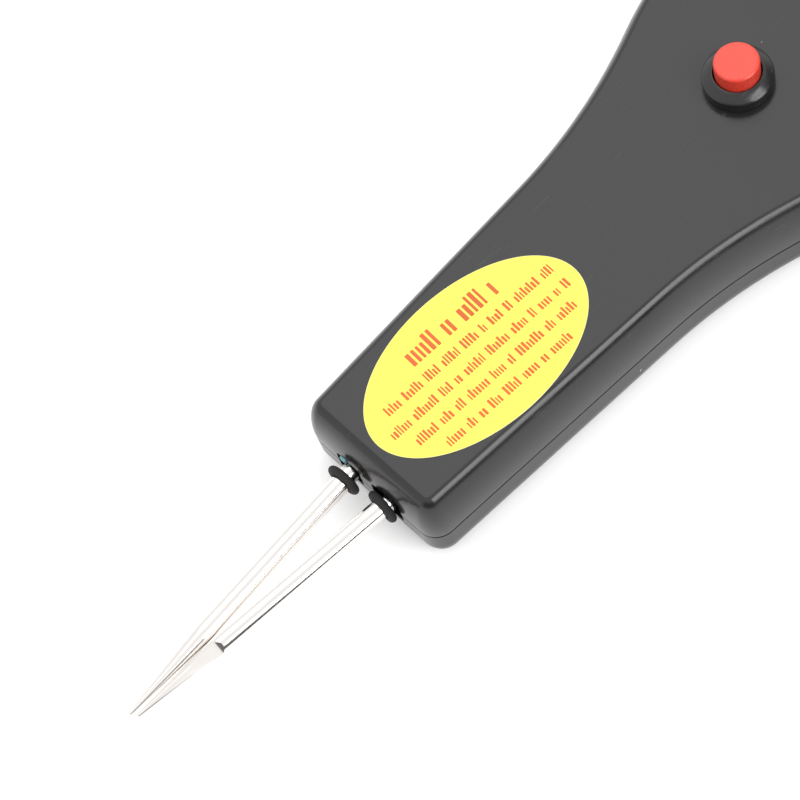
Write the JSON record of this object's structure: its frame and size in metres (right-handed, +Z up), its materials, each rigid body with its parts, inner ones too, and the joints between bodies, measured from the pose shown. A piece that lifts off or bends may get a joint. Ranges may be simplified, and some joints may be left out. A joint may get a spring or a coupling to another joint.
{
  "type": "twin-needle spot welder hand tool",
  "caption": "Battery hand tool: a flaring two-part plastic housing with a push switch, and two converging steel needles that a gear motor swings apart.",
  "frame": {"origin": "under the middle of the whole tool, on the plane of the housing's flat underside", "axes": "+X from the needle points to the tail, +Y to the plain needle's side, +Z up through the labelled face"},
  "size_m": [0.2452, 0.0718, 0.0275],
  "materials": {
    "housing_plastic": "satin black moulded plastic",
    "bezel_plastic": "matt black nylon",
    "cap_plastic": "red moulded plastic",
    "label_vinyl": "yellow printed vinyl",
    "needle_steel": "ground and polished steel",
    "dark_steel": "blackened steel",
    "ring_rubber": "black rubber",
    "pad_silicone": "teal silicone",
    "arm_alloy": "cast and machined",
    "gear_nylon": "natural nylon",
    "brass": "stamped brass",
    "nickel": "nickel plate",
    "board_laminate": "green solder mask",
    "component_black": "black moulding",
    "capacitor_sleeve": "shrunk sleeve",
    "cell_wrap": "plain printed foil"
  },
  "bodies": {
    "housing": {"capacitor": "capacitor_sleeve", "cell_1": "cell_wrap", "cell_2": "cell_wrap", "cell_3": "cell_wrap", "cell_4": "cell_wrap", "circuit_board": "board_laminate", "contact_plate_front_1": "nickel", "contact_plate_front_2": "nickel", "contact_plate_rear_1": "nickel", "contact_plate_rear_2": "nickel", "contact_plate_rear_3": "nickel", "contact_spring_1": "nickel", "contact_spring_2": "nickel", "contact_spring_3": "nickel", "contact_spring_4": "nickel", "cover_pin": "needle_steel", "driver_chip": "component_black", "gearbox_housing": "component_black", "label": "label_vinyl", "lower_shell": "housing_plastic", "motor_can": "nickel", "motor_end_cap": "gear_nylon", "motor_terminal_1": "brass", "motor_terminal_2": "brass", "pivot_pin_left": "needle_steel", "pivot_pin_right": "needle_steel", "shell_screw_1": "dark_steel", "shell_screw_2": "dark_steel", "shell_screw_3": "dark_steel", "shell_screw_4": "dark_steel", "shell_screw_5": "dark_steel", "shell_screw_6": "dark_steel", "slot_pad": "pad_silicone", "switch_housing": "bezel_plastic", "switch_nut": "nickel", "switch_spring": "needle_steel", "switch_terminal_1": "brass", "switch_terminal_2": "brass", "upper_shell": "housing_plastic"},
    "left_arm": {"needle_arm_left": "arm_alloy", "needle_left": "needle_steel", "o_ring_left": "ring_rubber", "clamp_screw_left": "dark_steel"},
    "right_arm": {"needle_arm_right": "arm_alloy", "needle_right": "needle_steel", "o_ring_right": "ring_rubber", "clamp_screw_right": "dark_steel"},
    "drive": {"drive_pinion": "gear_nylon", "pinion_shaft": "needle_steel"},
    "button": {"switch_cap": "cap_plastic"},
    "cover": {"battery_cover": "housing_plastic"}
  },
  "joints": [
    {"name": "left_arm_swing", "type": "hinge", "parent": "housing", "child": "left_arm", "pos_m": [-0.0374, 0.0065, 0.0093], "axis": [0, 0, -1], "range_deg": [0, 2.5]},
    {"name": "right_arm_swing", "type": "hinge", "parent": "housing", "child": "right_arm", "pos_m": [-0.0374, -0.0065, 0.0093], "axis": [0, 0, 1], "range_deg": [0, 2.5]},
    {"name": "pinion_spin", "type": "hinge", "parent": "housing", "child": "drive", "pos_m": [-0.02251, 0, 0.006], "axis": [0, 0, 1], "range_deg": [0, 7.5]},
    {"name": "button_press", "type": "slide", "parent": "housing", "child": "button", "axis": [0, 0, -1], "range_m": [0, 0.0018], "stiffness_N_per_m": 1000, "deforming": ["switch_spring"]},
    {"name": "cover_hinge", "type": "hinge", "parent": "housing", "child": "cover", "pos_m": [0.1106, 0, 0.001], "axis": [0, -1, 0], "range_deg": [0, 80]}
  ],
  "couplings": [
    {"joint": "right_arm_swing", "follows": "left_arm_swing", "ratio": 1},
    {"joint": "pinion_spin", "follows": "left_arm_swing", "ratio": 3}
  ]
}
